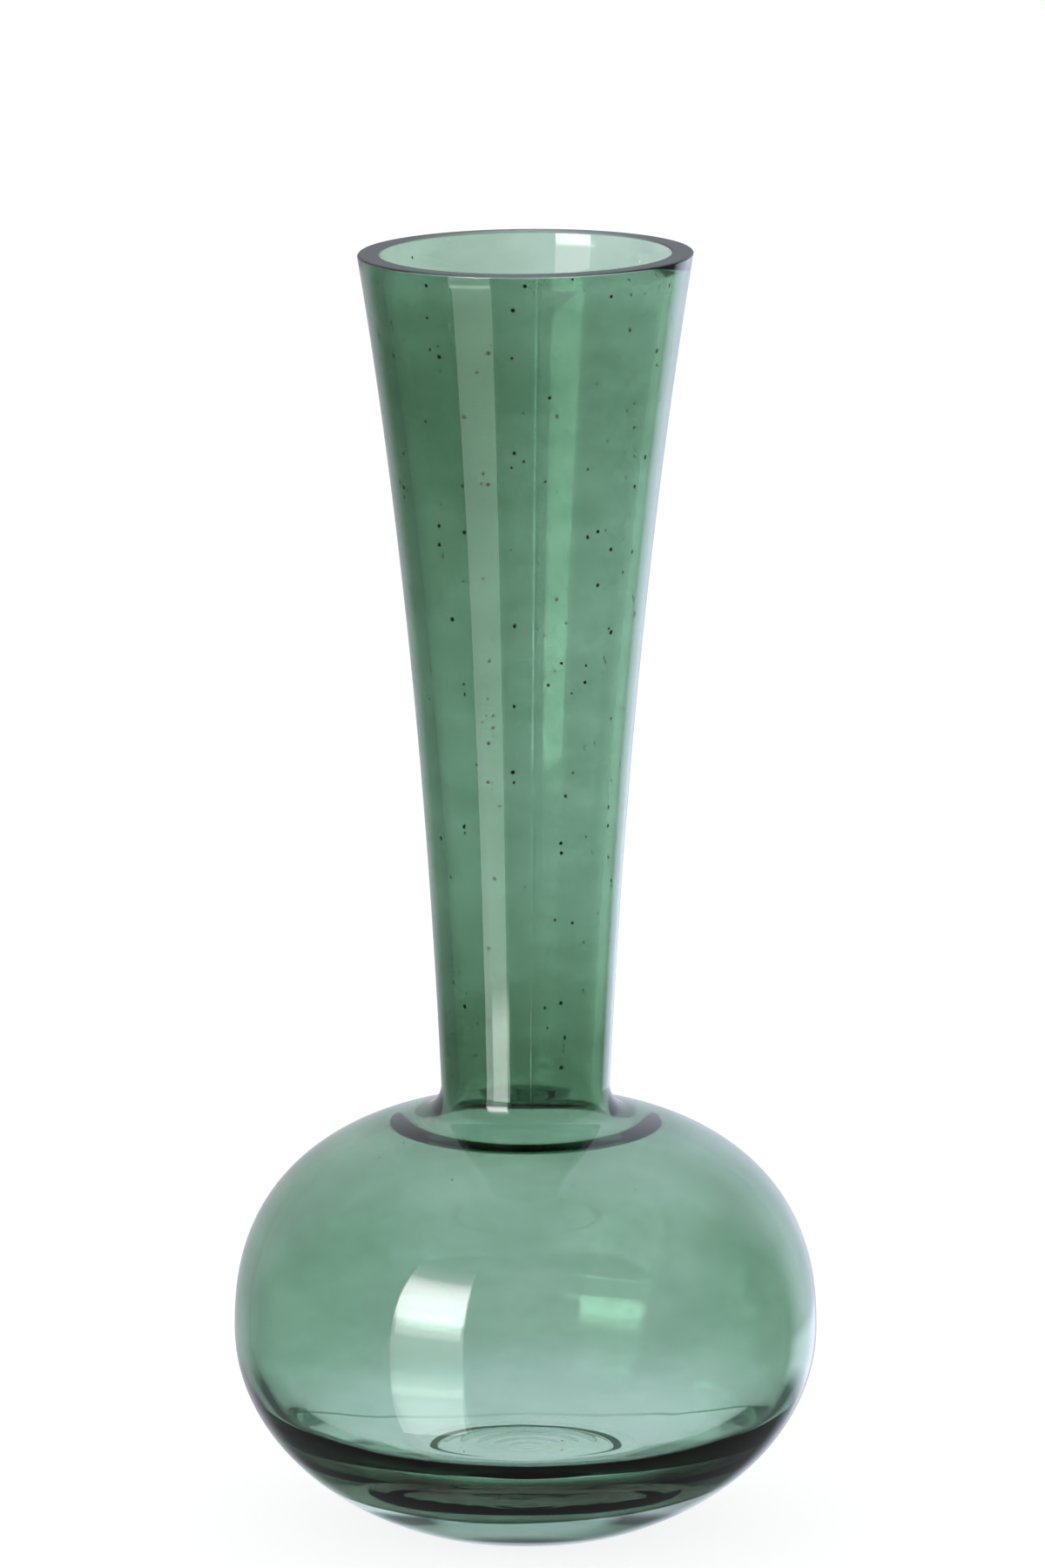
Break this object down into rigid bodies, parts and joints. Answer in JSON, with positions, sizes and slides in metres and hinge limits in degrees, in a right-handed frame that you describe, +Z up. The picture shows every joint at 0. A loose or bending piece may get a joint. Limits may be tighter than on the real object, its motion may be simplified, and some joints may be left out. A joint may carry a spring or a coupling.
{
  "type": "glass vase",
  "caption": "Tall glass bottle vase: flattened round body on a thick base, slender flared neck, flat ground rim, and a thin transparent green coat outside.",
  "frame": {"origin": "centre of the flat ring that the vase stands on, in the plane of the table", "axes": "+Z up along the vase's axis of rotation; X and Y are free because the vase is round"},
  "size_m": [0.1364, 0.1364, 0.3],
  "materials": {
    "clear_glass": "mould-blown clear soda-lime glass, fire-polished, with a ground and polished rim",
    "green_coat": "transparent grey-green lacquer sprayed on the outside, glossy and slightly cloudy"
  },
  "bodies": {
    "root": {"glass_body": "clear_glass", "colour_coat": "green_coat"}
  },
  "joints": []
}
